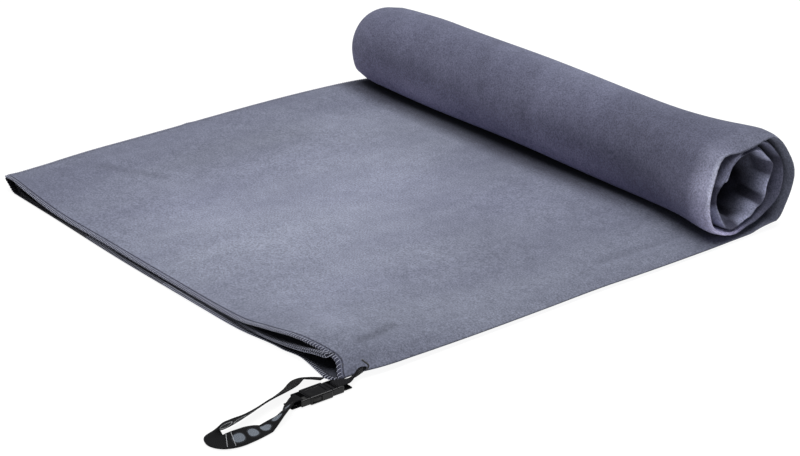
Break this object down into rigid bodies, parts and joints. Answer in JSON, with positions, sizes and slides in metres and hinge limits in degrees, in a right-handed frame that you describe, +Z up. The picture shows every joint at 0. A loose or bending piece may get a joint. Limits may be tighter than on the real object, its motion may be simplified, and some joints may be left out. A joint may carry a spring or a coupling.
{
  "type": "quick dry towel",
  "caption": "Suede microfibre travel towel, folded and part rolled, lying flat, with a webbing hang loop that opens at a small side-release buckle.",
  "frame": {"origin": "centre of the folded towel's footprint, on its flat underside", "axes": "+Z up; +Y along the towel's length from the free hem to the roll; +X across it, along the roll's axis, towards the side with the tab and buckle"},
  "size_m": [0.4013, 0.4518, 0.0614],
  "materials": {
    "cloth": "slate blue-grey suede microfibre with a short brushed nap",
    "hem_thread": "darker blue-grey overlock thread",
    "plain_webbing": "matt black narrow woven webbing",
    "patterned_webbing": "black woven webbing with a plain pattern of grey ovals, pale on its back",
    "black_thread": "black sewing thread, closely stitched",
    "buckle_plastic": "moulded black acetal with a fine satin surface"
  },
  "bodies": {
    "towel": {"towel_flat_panel": "cloth", "towel_roll": "cloth", "front_hem_overlock": "hem_thread", "front_hem_topstitch": "hem_thread", "inner_hem_overlock": "hem_thread", "side_hem_overlock_lower": "hem_thread", "side_hem_overlock_upper": "hem_thread", "anchor_tab": "plain_webbing", "anchor_tab_bartack": "black_thread", "loop_strap_outgoing": "patterned_webbing"},
    "plug": {"buckle_plug": "buckle_plastic"},
    "socket": {"buckle_socket": "buckle_plastic", "loop_strap_returning": "patterned_webbing", "loop_seam_stitches": "black_thread", "strap_end_bartack": "black_thread"},
    "left_arm": {"latch_arm_left": "buckle_plastic"},
    "right_arm": {"latch_arm_right": "buckle_plastic"}
  },
  "joints": [
    {"name": "buckle_swing", "type": "hinge", "parent": "towel", "child": "plug", "pos_m": [0.1922, -0.1829, 0.0024], "axis": [-1, 0, 0], "range_deg": [0, 90], "deforming": ["loop_strap_outgoing", "loop_strap_returning"]},
    {"name": "buckle_release", "type": "slide", "parent": "plug", "child": "socket", "axis": [0, -1, 0], "range_m": [0, 0.018], "deforming": ["latch_arm_left", "latch_arm_right", "loop_strap_outgoing", "loop_strap_returning"]},
    {"name": "latch_press_left", "type": "hinge", "parent": "plug", "child": "left_arm", "pos_m": [0.1881, -0.18995, 0.0024], "axis": [0, 0, 1], "range_deg": [0, 7], "stiffness_Nm_per_rad": 0.02},
    {"name": "latch_press_right", "type": "hinge", "parent": "plug", "child": "right_arm", "pos_m": [0.1963, -0.18995, 0.0024], "axis": [0, 0, -1], "range_deg": [0, 7], "stiffness_Nm_per_rad": 0.02}
  ]
}
